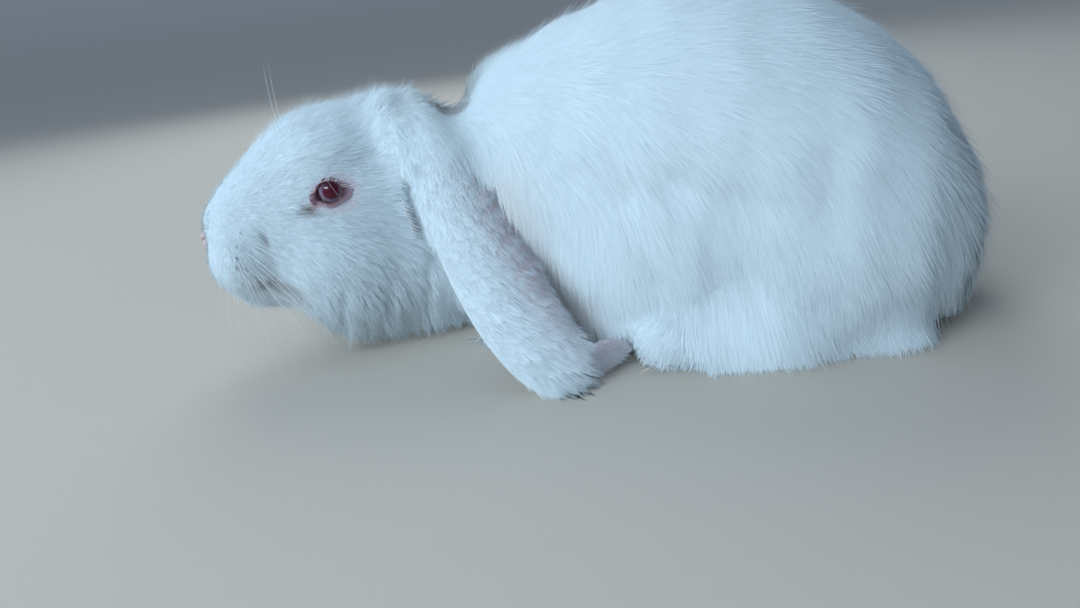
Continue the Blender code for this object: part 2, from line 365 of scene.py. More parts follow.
def coatFinish(name, isTuft):
    # tufts pass from the root colour, painted shade at their feet, to the tip colour; the markings
    # are laid over both
    made = Finish(name, Roughness=0.8, Specular_IOR_Level=0.0)
    large, small = (made.noise(size) * 0.5 for size in white["blotches"])
    blotch = large + small
    if isTuft:
        base = made.blend(made.attribute("reach"), white["root"], white["tip"])
        tone = made.attribute("tone") + blotch * 0.06 - 0.03
    else:
        base = made.blend(blotch, white["skin"], white["tip"])
        tone = blotch * 0.1 + 0.9
    for field in ("blush", "warm", "stain"):
        base = made.blend(made.attribute(field), base, white[field])
    grey = {"Red": tone, "Green": tone, "Blue": tone}
    shade = made.node("ShaderNodeCombineColor", {}, grey)
    made.feed("Base Color", made.blend(1.0, base, shade, "MULTIPLY"))
    return made


tuftFinish = coatFinish("white_tufts", True)
skinFinish = coatFinish("white_skin", False)

# Places on the head, as ahead, out and up in its own millimetres. Two places are a line's ends.
face = {
    "duct": ((64, 36.2, 87.4), (70.5, 34.7, 83.6)),
    "track": ((64.5, 36, 86.6), (70, 34.8, 83.8)),
    "tear": (73.6, 34.0, 83.4),
    "underTear": (70, 34.8, 81.6),
    "corner": (63.0, 36.5, 88.6),
    "nick": ((95.2, 28.5, 75.0), (93.8, 28.5, 69.5)),
    "crease": ((94.0, 28.5, 70), (94.6, 27, 51)),
    "mouth": ((99, 24, 48), (85, 30, 41.5)),
    "lip": ((126, 0, 66), (121, 0, 53)),
    "lips": ((120, 1, 52), (102, 22, 48)),
    "slit": ((21, 40, 88), (17.5, 42, 64)),
    "beforeSlit": ((25, 39, 86), (22, 41, 66)),
    "afterSlit": (23, 40, 76),
    "pocket": ((19.6, 41.5, 75), (17.8, 42, 66)),
    "jawParting": ((38, 39.5, 44), (47, 34, 18)),
    "neckParting": ((16, 41, 52), (25, 34, 20)),
    "cheekParting": ((62, 39, 44), (68, 34, 24)),
    "earRoot": ((26, 28, 120), (26, 40, 92)),
    "hollow": (20, 28, 129),
    "ridge": ((38, 12, 129), (25, 18, 131)),
    "crown": (40, 12, 125),
    "crownTop": (20, 8, 132),
    "nape": (-8, 20, 127),
    "pad": (108, 22, 62),
}
# What is done at those places: its strength and its reach, one for a line and three for a spot.
# duct, tear and underTear are real tear staining; the others are painted shade, in the eye's front
# corner, the mouth, the lip's groove, nick, crease, slit, pocket, hollow, on the crown and in
# partings
stainsAndShade = {
    "duct": (0.40, 1.5),
    "mouth": (0.58, 3.3),
    "tear": (1.00, (3.2, 6, 2.4)),
    "underTear": (0.45, (4, 6, 1.9)),
    "corner": (0.80, (2.0, 6, 3.0)),
    "nick": (1.00, 1.3),
    "crease": (0.14, 1.2),
    "slit": (0.95, 1.1),
    "pocket": (0.70, 1.9),
    "hollow": (0.58, (9, 8, 7)),
    "crown": (0.14, (9, 12, 8)),
    "lip": (0.40, 1.1),
    "lips": (0.35, 1.3),
    "jawParting": (0.09, 2.4),
    "neckParting": (0.09, 2.4),
    "cheekParting": (0.09, 2.4),
}
blushes = {"duct": (0.25, 4.5), "track": (0.90, 1.7)}
swells = {
    "pad": (2.4, (11, 12, 14)),
    "crease": (-0.6, 2.6),
    "nick": (-1.6, 1.6),
    "mouth": (-2.6, 2.6),
    "jawParting": (-1.7, 2.4),
    "neckParting": (-1.7, 2.4),
    "cheekParting": (-1.7, 2.4),
    "slit": (-5.0, 2.3),
    "nape": (-4.0, (12, 26, 12)),
    "hollow": (-3.0, (5, 7, 7)),
    "ridge": (1.8, 3.5),
    "duct": (-0.8, 2.0),
    "lip": (-1.6, 1.6),
    "lips": (-1.5, 1.8),
}
stands = {"earRoot": (4, 9), "crownTop": (3, (22, 20, 8))}


def fromLine(p, first, last):
    # the distance of each place from the nearest point of a line between two ends
    way = last - first
    share = np.clip(((p - first) @ way) / (way @ way), 0, 1)
    return np.linalg.norm(p - first - share[:, None] * way, axis=1)


def near(h, place, reach):
    # 1 at the place and falling away as a bell whose radii are reach; left and right alike
    return np.exp(-(((folded(h) - place) / reach) ** 2).sum(-1))


def alongLine(h, first, last, reach):
    # 1 on the line from first to last, falling away within reach of it; left and right alike,
    # and depth counts a third, because the line lies a little off the skin
    depth = np.array([1, 0.33, 1])
    return bell(fromLine(folded(h) * depth, first * depth, last * depth) / reach)


def mark(h, name, reach):
    place = face[name]
    return near(h, place, reach) if np.ndim(place) == 1 else alongLine(h, *place, reach)


def marked(h, table):
    return sum(strength * mark(h, name, reach) for name, (strength, reach) in table.items())


lidRing = {"oval": (54.5, 89.5, 1.2), "radius": 8.0, "width": 2.0, "out": 22, "strength": 0.40}
# painted shade with a brownish tint in the fold behind the ear, on the left side only; its turns as
# x, out from the body's middle and z
recessShade = {"turns": ((-36, 55, 96), (-14, 64, 55), (-2, 68, 28)), "reach": 11, "strength": 0.36}


def markings(p):
    # blush where pink skin shows through; a brownish tint, painted shade behind the ear and real
    # staining at the mouth; dark grey, real tear staining by the eye and painted shade at the eye's
    # front corner, at the mouth's corner and in folds
    h = toHead(p)
    ring = bell((fromEye(h, *lidRing["oval"]) - lidRing["radius"]) / lidRing["width"])
    ring *= np.abs(h[:, 1]) > lidRing["out"]
    body = folded(p, bodyMiddle)
    turns = np.array(recessShade["turns"], float)
    gap = np.minimum(fromLine(body, *turns[:2]), fromLine(body, *turns[1:]))
    shadeBehindEar = recessShade["strength"] * bell(gap / recessShade["reach"]) * (p[:, 1] < bodyMiddle)
    return {
        "blush": np.clip(lidRing["strength"] * ring + marked(h, blushes), 0, 1),
        "stain": np.clip(marked(h, stainsAndShade), 0, 1),
        "warm": shadeBehindEar + 0.22 * mark(h, "mouth", 6.0) * (h[:, 0] > 60),
    }


# The skin: the flesh nodes made one body, softened, and drawn in by the coat's depth.
fleshNodes = ("trunk", "neck", "head", "tail") + tuple(
    part + side for part in ("foreleg_", "hind_leg_", "hind_foot_") for side in ("left", "right")
)
skin = {"cell": 1.75, "soften": 10, "softenTrunk": 40, "keepFoot": 0.7, "settle": 2}
depths = {"muzzle": 1.7, "cheek": 3.4, "hem": 4.5, "trunk": 3.5, "foot": 2.2}


def onTrunk(p):
    # 0 on the head, 1 behind the nape
    return 1 - fade(toHead(p)[:, 0], -12, 22)


def onFoot(p):
    # 1 on the toes and heels, where the coat is short; the flank's fur hangs over the rest
    x, out, z = folded(p, bodyMiddle).T
    toes = 1 - fade(x + 0.8 * z, footX + 40, footX + 64)
    heel = fade(x, 104, 120) * (1 - fade(z, 8, 22))
    low = 1 - fade(z, 22, 38)
    return low * np.maximum(toes, heel) * fade(out, 44, 56) * fade(x, footX - 10, footX + 4)


def jawShare(h, top):
    # 1 along the jaw's and the neck's lower edge, from 20 mm below top downwards
    ahead, _, height = h.T
    return fade(top - height, 0, 20) * fade(ahead, -20, 0) * fade(104 - ahead, 0, 20)


def hemShare(p):
    # 1 where the locks hang in points
    return jawShare(toHead(p), 40)


def coatDepth(p):
    h = toHead(p)
    rear = fade(np.hypot(h[:, 0] - 120, h[:, 2] - 70), 40, 115)
    onFace = mixed(depths["muzzle"], depths["cheek"], rear) + depths["hem"] * hemShare(p)
    return mixed(mixed(onFace, depths["trunk"], onTrunk(p)), depths["foot"], onFoot(p))


# soft furrows of the flank, as x, out from the body's middle and z: two ends, depth and reach
furrows = (
    ((-2, 62, 103), (41, 75, 95), 1.6, 8.0),
    ((41, 75, 95), (82, 80, 86), 1.6, 8.0),
    ((20, 72, 92), (31, 77, 56), 1.5, 6.0),
    ((56, 79, 84), (58, 79, 42), 1.3, 7.0),
    ((104, 82, 100), (112, 83, 48), 1.2, 9.0),
)
# toes, out from the body's middle: the first one's inner edge, their pitch and the first claw,
# and how far the claws lie behind the foot's front
paws = {
    "hind_foot_left": {"inner": 52, "pitch": 11.5, "claw": 57.5, "back": 16},
    "foreleg_left": {"inner": 20, "pitch": 10, "claw": 25, "back": 21},
}


def sculpted(p):
    # how far the skin swells out, or sinks in where it is negative
    body, trunk = folded(p, bodyMiddle), onTrunk(p)
    x, out, z = body.T
    rise = marked(toHead(p), swells)
    # low folds of the coat, upright on the flanks
    fold = waves(p * [1, 0.6, 0.30], 30, 61, 9) * mixed(1.0, 0.4, fade(z, 105, 140))
    rise += fold * trunk * (1 - onFoot(p)) * fade(z, 12, 40)
    for first, last, depth, reach in furrows:
        rise -= depth * alongLine(body, first, last, reach) * trunk
    # the chest's lower edge
    rise -= 4.0 * (1 - fade(x, -62, -50)) * (1 - fade(z, 22, 34)) * trunk
    for node, paw in paws.items():
        front = corner(node, 0)[0]
        reach = fade(x, front - 6, front) * (1 - fade(x, front + 18, front + 32))
        across = np.abs(np.sin((out - paw["inner"]) * math.pi / paw["pitch"]))
        rise -= 1.5 * (1 - across) ** 2 * reach * (1 - fade(z, 24, 34))
    return rise


# Ears: a strip curled across its width and swept along a drooping line.
earShape = {
    "along": 110,
    "around": 21,
    "inset": 0.9,
    "spread": {"left": 1.0, "right": 0.76},
    "sweep": 60.0,
    "plug": (0.02, 0.42, 18),
    "sink": 3.4,
    "ridge": 0.12,
}
# place, ahead, left, up, outward normal (3), width, curl in degrees, thickness
earKeys = (
    (0.00, 16, 10, 118, 0.10, 0.05, 1.00, 44, 120, 6.5),
    (0.09, 13, 22, 127, 0.12, 0.30, 0.95, 56, 120, 7.0),
    (0.18, 8, 37, 124, 0.20, 0.62, 0.75, 60, 105, 7.0),
    (0.28, 4, 53, 112, 0.18, 0.86, 0.46, 56, 88, 6.5),
    (0.38, 1, 67, 93, 0.14, 0.92, 0.36, 52, 74, 6.0),
    (0.48, -4, 80, 73, 0.12, 0.93, 0.34, 49, 64, 5.6),
    (0.58, -9, 94, 53, 0.12, 0.93, 0.34, 47, 55, 5.4),
    (0.68, -15, 108, 34, 0.12, 0.93, 0.32, 43, 46, 5.2),
    (0.77, -23, 120, 18, 0.10, 0.95, 0.26, 37, 38, 5.2),
    (0.85, -33, 123, 9.5, 0.06, 0.98, 0.18, 31, 30, 5.2),
    (0.93, -46, 117, 8.8, -0.02, 0.99, 0.10, 24, 24, 5.4),
    (0.97, -55, 114, 9.2, -0.06, 0.99, 0.06, 21, 20, 5.4),
    (0.99, -61, 112, 9.2, -0.06, 0.99, 0.06, 15, 16, 5.0),
    (1.00, -63, 111.5, 9.2, -0.06, 0.99, 0.05, 8, 10, 3.4),
)


def earStrip(name, at):
    # the strip's middle surface at the places at, the way it faces, its thickness and more
    key = smoothCurve(earKeys, at)
    centre, normal, (width, curl, thick) = key[:, :3], key[:, 3:6], key[:, 6:].T
    spread = earShape["spread"][name]
    centre[:, 0] -= (1 - spread) * earShape["sweep"] * at**2
    centre[:, 1] *= 1 - (1 - spread) * at
    along = unit(np.gradient(centre, axis=0))
    across = unit(np.cross(normal, along))
    normal = np.cross(along, across)
    share = np.sin(np.linspace(-1, 1, earShape["around"]) * math.pi / 2)
    curl = np.radians(curl)[:, None]
    width = (width - 2 * earShape["inset"]) * (1 - 0.30 * fade(at, 0.86, 0.93))
    radius = width[:, None] / (2 * curl)
    bend = (share * curl)[..., None]
    facing = across[:, None] * np.sin(bend) + normal[:, None] * np.cos(bend)
    middle = (centre - normal * radius)[:, None] + facing * radius[..., None]
    strip = {"centre": centre, "along": along, "share": share, "thick": thick}
    return strip | {"middle": middle, "facing": facing}


def rootPlug(name, side):
    # a solid root under the ear: the strip's outer side for its first third, closed by chords
    strip = earStrip(name, np.linspace(*earShape["plug"]))
    rings = strip["middle"] + strip["facing"] * strip["thick"][:, None, None] / 2
    rings = fromHead(sided(rings, side))
    points = np.vstack([rings.reshape(-1, 3), rings[0].mean(0), rings[-1].mean(0)])
    return outwards(meshOf("plug", points, tubeFaces(*rings.shape[:2])))


def earLine(name, side):
    # the ear's middle line and its direction, for the hair that runs over its root
    at = np.linspace(0.0, 0.45, 40)
    strip = earStrip(name, at)
    return at, fromHead(sided(strip["centre"], side)), sided(strip["along"], side) @ headAxes


# balls that fill the fold before the ear's root: ahead, out, up and radius in the head
earFill = (
    (17, 36, 117, 9.0),
    (16, 40, 108, 10.5),
    (15, 43, 99, 10.5),
    (13, 47, 91, 8.0),
    (2, 22, 118, 9.0),
    (25, 30, 113, 9.0),
    (24, 33, 104, 9.5),
    (22, 36, 95, 8.5),
    (15, 50, 101, 9.0),
    (13, 54, 92, 7.5),
)


def wholeFlesh():
    # the flesh nodes, the ears' roots and their balls remeshed into one body
    shape = bmesh.new()
    for node in fleshNodes + ("eye_left", "eye_right"):
        shape.from_mesh(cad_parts[node].data)
    bmesh.ops.remove_doubles(shape, verts=shape.verts, dist=1e-6)
    for name, side in bothSides:
        shape.from_mesh(rootPlug(name, side))
        for *place, radius in earFill:
            where = Matrix.Translation(Vector(fromHead(sided(place, side)) * mm))
            bmesh.ops.create_icosphere(shape, subdivisions=3, radius=radius * mm, matrix=where)
    mesh = bpy.data.meshes.new("flesh")
    shape.to_mesh(mesh)
    shape.free()
    whole = addObject("flesh", mesh)
    remesh = whole.modifiers.new("whole", "REMESH")
    remesh.mode, remesh.voxel_size = "VOXEL", skin["cell"] * mm
    graph = bpy.context.evaluated_depsgraph_get()
    made = bpy.data.meshes.new_from_object(whole.evaluated_get(graph))
    bpy.data.objects.remove(whole)
    return made


def makeSkin():
    made = wholeFlesh()
    made.calc_loop_triangles()
    faces = valuesOf(made.loop_triangles, "vertices", 3)
    edges = valuesOf(made.edges, "vertices", 2)
    points = valuesOf(made.vertices, "co", 3, np.float32).astype(float) / mm
    points = relaxed(points, edges, 0.5, skin["soften"])
    body = relaxed(points, edges, 0.5, skin["softenTrunk"])
    softer = onTrunk(points) * (1 - skin["keepFoot"] * onFoot(points))
    points = mixed(points, body, softer[:, None])
    points = points + normalsOf(points, faces) * (sculpted(points) - coatDepth(points))[:, None]
    points = relaxed(points, edges, 0.5, skin["settle"])
    made.vertices.foreach_set("co", (points * mm).astype(np.float32).ravel())
    made.update()
    made.polygons.foreach_set("use_smooth", np.ones(len(made.polygons), bool))
    for field, values in markings(points).items():
        numberOf(made, field, values)
    wear(addObject("skin", made), skinFinish, "white_coat", *fleshNodes)
    print("skin", len(points), "points", len(faces), "triangles")
    return points, faces, normalsOf(points, faces)


skinPoints, skinFaces, skinNormals = makeSkin()
skinInHead = toHead(skinPoints)
nearMiddle = skinInHead[np.abs(skinInHead[:, 1]) < 3]
noseTip = nearMiddle[np.argmax(nearMiddle[:, 0])]
print("nose tip", noseTip.round(1))


def earCrimp(extra, end):
    # 1 on the rear half of the upper ear, where the hair crimps
    along = extra["along"]
    return fade(extra["edge"], -0.1, 0.5) * fade(along, 0.22, 0.34) * (1 - fade(along, *end))


def earBlush(extra):
    # pinker on the inside, towards the rear edge and the tip
    along, edge = extra["along"], extra["edge"]
    rear = fade(edge, -0.3, 0.7) * fade(along, 0.25, 0.5) * (1 - 0.6 * fade(along, 0.6, 0.8))
    outer = 0.03 + 0.40 * rear + 0.34 * fade(along, 0.84, 0.93)
    outer += 0.26 * earCrimp(extra, (0.58, 0.72)) * np.sin(along * 190 + edge * 9)
    return np.clip(np.where(extra["outer"] > 0.5, outer, 0.6), 0, 1)


def makeEar(name, side):
    steps, around = earShape["along"], earShape["around"]
    at = 1 - np.linspace(1, 0, steps) ** 1.35
    strip = earStrip(name, at)
    share, facing = strip["share"], strip["facing"]
    # the root sinks under the skin that covers it
    sink = earShape["sink"] * (1 - fade(at, 0.27, 0.44))
    middle = strip["middle"] - facing * sink[:, None, None]
    half = (strip["thick"][:, None] / 2 - earShape["inset"]) * np.sqrt(1 - 0.75 * share**4)
    ridge = earShape["ridge"] * np.sin(share * 9 + 3 * np.sin(at * 7)[:, None])
    ridge *= np.sin(math.pi * at)[:, None]
    outer = middle + facing * (half + ridge)[..., None]
    inner = middle - facing * (half - ridge)[..., None]
    rings = fromHead(sided(np.concatenate([outer, inner[:, ::-1]], axis=1), side))
    rings[..., 2] = np.maximum(rings[..., 2], earShape["inset"])
    count = rings.shape[1]
    points = np.vstack([rings.reshape(-1, 3), rings[0].mean(0), rings[-1].mean(0)])
    faces = tubeFaces(steps, count)
    # the outer side has to face away from the head
    if normalsOf(points, faces)[count * 50 + around // 2] @ leftWay * side < 0:
        faces = faces[:, ::-1]
    flow = unit(np.gradient(rings, axis=0)).reshape(-1, 3)
    flow = np.vstack([flow, flow[0], flow[-1]])
    isOuter = np.tile(np.r_[np.ones(around), np.zeros(around)], steps)
    edge = np.tile(np.r_[share, share[::-1]], steps)
    extra = {
        "along": np.r_[np.repeat(at, count), 0, 1],
        "outer": np.r_[isOuter, 1, 1],
        "edge": np.r_[edge, 0, 0],
    }
    mesh = meshOf("ear_skin_" + name, points, faces)
    tint = earBlush(extra)
    for field, values in (("blush", tint), ("stain", 0 * tint), ("warm", 0 * tint)):
        numberOf(mesh, field, values)
    wear(addObject("ear_skin_" + name, mesh), skinFinish, "ear_coat", "ear_" + name)
    return points, faces, normalsOf(points, faces), flow, extra


ears = {name: makeEar(name, side) for name, side in bothSides}
print("ears", len(ears["left"][0]), "points each")


def sampleRoots(points, faces, normals, density, count, seed):
    # count places spread over the triangles in proportion to area times density, as the corners
    # of each one's triangle and its shares of them, with its point and its normal
    count //= 1
    rng = np.random.default_rng(seed)
    a, b, c = (points[faces[:, k]] for k in range(3))
    weight = np.linalg.norm(np.cross(b - a, c - a), axis=1) * density
    total = np.cumsum(weight)
    pick = (np.arange(count) + rng.uniform(0, 1, count)) / count * total[-1]
    chosen = faces[np.minimum(np.searchsorted(total, pick), len(faces) - 1)]
    u, v = rng.uniform(0, 1, (2, count))
    over = u + v > 1
    u[over], v[over] = 1 - u[over], 1 - v[over]
    share = np.stack([1 - u - v, u, v], -1)
    return chosen, share, atRoots(points, chosen, share), unit(atRoots(normals, chosen, share))


def atRoots(values, corners, share):
    return (values[corners] * share.reshape(share.shape + (1,) * (values.ndim - 1))).sum(1)


tuft = {"belly": 0.62, "crest": 0.07, "foot": -0.03, "patch": 0.0015, "floor": 0.3}


def tuftPatch():
    # on the map the root is the middle of a patch, the ring lies around it and the tip at its rim
    turn = np.radians([90, 210, 330])
    spot = {k + 1: 0.45 * np.array([math.cos(a), math.sin(a)]) for k, a in enumerate(turn)}
    ends = [(1, 2), (2, 3), (3, 1), (2, 1), (3, 2), (1, 3)]
    rows = [
        [np.zeros(2) if f < 3 else unit(spot[first] + spot[second]), spot[first], spot[second]]
        for f, (first, second) in enumerate(ends)
    ]
    faces = [(0 if f < 3 else 4, first, second) for f, (first, second) in enumerate(ends)]
    return np.array(faces), np.array(rows) * tuft["patch"]


def spindles(name, roots):
    # Each tuft is a closed spindle of five points: a root, three points around its thickest
    # place and a tip. Its middle line is a parabola that leaves the skin at the angle lift and
    # ends on the line that leaves it at tipLift.
    place, normal, flow = roots["place"], roots["normal"], roots["flow"]
    length, width = roots["length"][:, None], roots["width"][:, None]
    lift, tipLift = np.radians(roots["lift"])[:, None], np.radians(roots["tipLift"])[:, None]
    bend = place + length * 0.5 * (np.cos(lift) * flow + np.sin(lift) * normal)
    tip = place + length * (np.cos(tipLift) * flow + np.sin(tipLift) * normal)
    pull = roots["clump"] - tip
    tip = tip + (pull - dot(pull, normal) * normal) * np.reshape(roots["gather"], (-1, 1))
    tip[:, 2] -= roots["sag"] * roots["length"]
    at = tuft["belly"]
    middle = (1 - at) ** 2 * place + 2 * at * (1 - at) * bend + at**2 * tip
    way = unit(mixed(bend - place, tip - bend, at))
    side = unit(np.cross(normal, way))
    crest = np.cross(way, side)
    around = [(0.0, tuft["crest"]), (0.5, tuft["foot"]), (-0.5, tuft["foot"])]
    ring = [middle + width * (across * side + rise * crest) for across, rise in around]
    points = np.stack([place, *ring, tip], 1)
    # the ring's shading leans round by the share relief, so that a tuft looks round
    relief = np.reshape(roots["relief"], (-1, 1))
    lean = [normal + relief * unit(x * side + (rise + 0.05) * crest) for x, rise in around]
    shading = unit(np.stack([normal, *lean, normal], 1))
    points[..., 2] = np.maximum(points[..., 2], tuft["floor"])
    faces, patch = tuftPatch()
    every = (np.arange(len(place))[:, None, None] * 5 + faces).reshape(-1, 3)
    mesh = meshOf(name, points.reshape(-1, 3), every)
    spots = roots["uv"][:, None, None] + patch
    mesh.uv_layers.new(name="OFBake").uv.foreach_set("vector", spots.astype(np.float32).ravel())
    # a tuft's foot is in the shade of its neighbours, by the share dusk
    reach = 1 - roots["dusk"][:, None] * (1 - np.array([0, at, at, at, 1]))
    numberOf(mesh, "reach", reach.ravel())
    for field in ("tone", "blush", "stain", "warm"):
        numberOf(mesh, field, np.repeat(roots[field], 5))
    mesh.normals_split_custom_set_from_vertices(shading.reshape(-1, 3).astype(np.float32))
    return addObject(name, mesh)


def unwrapped(p, kind):
    # the trunk's map is angle and length about its own axis, the head's the same about its own
    if kind == "head":
        h = toHead(p)
        u, v = np.arctan2(h[:, 1], h[:, 2] - 65), h[:, 0]
    else:
        u, v = np.arctan2(p[:, 1] - bodyMiddle, p[:, 2] - 75), p[:, 0]
    made = np.stack([u, v], -1)
    low, high = made.min(0), made.max(0)
    return 0.01 + 0.98 * (made - low) / (high - low)


def earRootFlow(p, flow):
    # over the ear's root the hair turns to run along the ear
    for name, side in bothSides:
        at, line, along = earLine(name, side)
        gap = np.linalg.norm(p[:, None] - line[None], axis=2)
        nearest = gap.argmin(1)
        share = (1 - fade(gap.min(1), 15, 29)) * fade(at[nearest], 0.03, 0.22)
        flow = mixed(flow, along[nearest], share[:, None])
    return flow


def bodyFlow(p, n):
    # the lie of the coat: back from the nose over the head, then back and down over the trunk
    h = toHead(p)
    onFace, gap, height = unit(h - [130, 0, 80]), fromNose(h), h[:, 2]
    onFace[:, 2] -= fade(92 - height, 0, 45) * (0.25 + 0.55 * fade(gap, 40, 95))
    onFace[:, 2] -= 1.5 * fade(66 - height, 0, 34) * fade(gap, 40, 85)
    onFace[:, 2] -= 1.3 * mark(h, "pad", (11, 14, 14))
    onFace = unit(onFace) @ headAxes
    x, y, z = p.T
    down = fade(-z, -158, -62)
    rear = fade(x, rumpX - 75, rumpX - 10)
    outward = 0.34 * np.clip((y - bodyMiddle) / 45, -1, 1) * (1 - down)
    trunk = np.stack([1.05 - 0.80 * down, outward, -0.1 - 0.95 * down - 0.4 * rear], -1)
    flow = earRootFlow(p, mixed(onFace, unit(trunk), onTrunk(p)[:, None]))
    toeWay, heelWay = np.array([-0.6, 0, -0.8]), np.array([0.4, 0, -1.0])
    foot = mixed(toeWay, heelWay, fade(x, 96, 112)[:, None])
    flow = mixed(flow, foot, onFoot(p)[:, None])
    flow = unit(flow - dot(flow, n) * n)
    wander = 0.20 * waves(p, 42, 11) + 0.09 * waves(p, 12, 12)
    return unit(flow + np.cross(n, flow) * wander[:, None])


# The coat's measures. A pair is the value on the face and the one on the trunk.
coat = {"face": 29000, "trunk": 24000, "ear": 20000, "cuts": (50, 145)}
hairLengths = {"muzzle": 3.6, "cheek": 11.5, "back": 17.0, "flank": 23.0, "foot": 6.0}
looks = {
    "width": (0.42, 0.80),
    "lift": (18, 11),
    "spread": (0.17, 0.04),
    "fringe": (3.0, 1.6),
    "loose": (1, 0.75),
    # dusk is the share of painted shade at a tuft's foot
    "dusk": (0.50, 0.08),
    "grain": (0.075, 0.022),
    "highest": (12.0, 4.6),
    "gather": (0.20, 0.0),
    "relief": (0.70, 0.08),
}


def bodyLength(p):
    h = toHead(p)
    gap = fromNose(h)
    onFace = mixed(hairLengths["muzzle"], hairLengths["cheek"], fade(gap, 10, 95))
    onFace += 9.0 * fade(48 - h[:, 2], 0, 22) * fade(gap, 34, 60)
    onFace += 2.0 * mark(h, "earRoot", 9)
    # short around the eye, and before the slit so that they end at its edge
    eye = fromEye(h, 55.5, 90.5, 1.1) + 20 * (np.abs(h[:, 1]) < 20)
    onFace *= mixed(0.40, 1, fade(eye, 9, 19))
    onFace *= 1 - 0.58 * mark(h, "beforeSlit", 4.2)
    trunk = mixed(hairLengths["back"], hairLengths["flank"], fade(-p[:, 2], -150, -70))
    made = mixed(onFace, trunk, fade(onTrunk(p), 0.05, 1))
    return mixed(made, hairLengths["foot"], onFoot(p))


def coatStand(p, n):
    # extra lift where the hair stands off: before the ear's root, on the crown, along the jaw
    # and at the nape
    h = toHead(p)
    jaw = jawShare(h, 52)
    hang = jaw * fade(-n[:, 2], -0.1, 0.6)
    brow = fade(h[:, 2], 100, 120) * fade(h[:, 0], 10, 30)
    nape = near(p - [napeX + 14, bodyMiddle, 118], (0, 0, 0), (26, 60, 26))
    return marked(h, stands) + 3 * jaw + 19 * hang + 5 * brow + 6 * nape


def spreadOf(centres, seed):
    # a random number from -1 to 1 for each clump, worked out from the place of its centre
    return np.sin(np.sin(centres @ [12.98, 78.23, 37.72] + seed) * 4375.85)


# how much tufts vary, by share or by degrees, and what sets the strays apart
vary = {
    "length": (0.78, 1.15),
    "width": (0.75, 1.25),
    "dusk": (0.6, 1.4),
    "turn": 0.045,
    "lift": 1.6,
    "tipSpread": 22,
    "toneSpread": 0.25,
    "clumpAhead": 0.8,
    "quickWidth": 1.6,
}
stray = {"share": 0.085, "width": 0.5, "length": 1.15, "lift": 8, "tipLift": (4, 16)}


def growTufts(name, p, n, flow, about):
    # One piece of the coat, rooted at p. In about, cell is the clumps' size, doubled where coarse
    # is 1, gather the share by which tips are drawn to them, spread how far clumps differ,
    # fringe how much tips stray and loose how many of them do.
    rng = np.random.default_rng(about["seed"])
    count = len(p)
    length = about["length"] * rng.uniform(*vary["length"], count)
    ahead = p + flow * length[:, None] * vary["clumpAhead"]
    clump = clumpCentres(ahead, about["cell"], about["seed"])
    coarse = about["coarse"][:, None] > 0.5
    clump = np.where(coarse, clumpCentres(ahead, 2 * about["cell"], 1), clump)
    turn, tipSpread, toneSpread = (about["spread"] * spreadOf(clump, k) for k in (1, 2, 3))
    turn = turn + rng.normal(0, vary["turn"], count)
    flow = unit(flow + np.cross(n, flow) * turn[:, None])
    astray = rng.uniform(0, 1, count) < stray["share"] * about["fringe"] * about["loose"]
    width = about["width"] * rng.uniform(*vary["width"], count)
    width = width * np.where(astray, stray["width"], 1)
    length = length * np.where(astray, stray["length"], 1)
    tipLift = about["tipLift"] + rng.normal(0, 1, count) * about["fringe"]
    tipLift = tipLift + vary["tipSpread"] * tipSpread
    tipLift += astray * rng.uniform(*stray["tipLift"], count) * np.sqrt(about["fringe"])
    highest = np.degrees(np.arcsin(np.clip(about["highest"] / length, 0.1, 1)))
    roots = {
        **about,
        "place": p,
        "normal": n,
        "flow": flow,
        "length": length,
        "width": width * 1,
        "lift": about["lift"] + rng.normal(0, vary["lift"], count) + astray * stray["lift"],
        "tipLift": np.minimum(tipLift, highest),
        "clump": clump,
        "dusk": about["dusk"] * rng.uniform(*vary["dusk"], count),
        "tone": about["shade"] + vary["toneSpread"] * toneSpread
        + rng.normal(0, 1, count) * about["grain"],
    }
    piece = spindles(name, roots)
    # light soaks through fine white hair, so tufts cast no shadow; the skin under them does
    piece.visible_shadow = False
    wear(piece, tuftFinish, about["slot"])
    print(name, count, "tufts,", len(piece.data.polygons), "triangles")


# where the ear leaves its root: the place along it, and how near tufts may not come
earExit = {"at": 0.385, "left": 21, "right": 14}


def isBare(p, h):
    # the eye's opening, the nose, the slit, and where tufts would show through the ear; the rim
    # is wider below the eye and behind it than above it
    ahead, left, height = h.T
    eye = fromEye(h, 55.0, 89.6, 1.25) + 0.4 + 1.7 * fade(height, 91, 96)
    eye -= 1.5 * fade(ahead, 59, 64) * fade(height, 82, 86) * (1 - fade(height, 92, 95))
    bare = (eye < 7.7 - 2.7 * fade(51 - ahead, 0, 5)) & (np.abs(left) > 20) & (ahead > 20)
    muzzle = np.hypot(left / 6.6, (height - noseTip[2] + 5) / 5.4)
    bare |= (muzzle < 1) & (ahead > noseTip[0] - 9)
    for name, side in bothSides:
        at, line, _ = earLine(name, side)
        line = line[at > earExit["at"]][None, ::2]
        bare |= np.linalg.norm(p[:, None] - line, axis=2).min(1) < earExit[name]
    return bare | (mark(h, "slit", 1.0) > 0.5) | (mark(h, "pocket", 1.8) > 0.55)


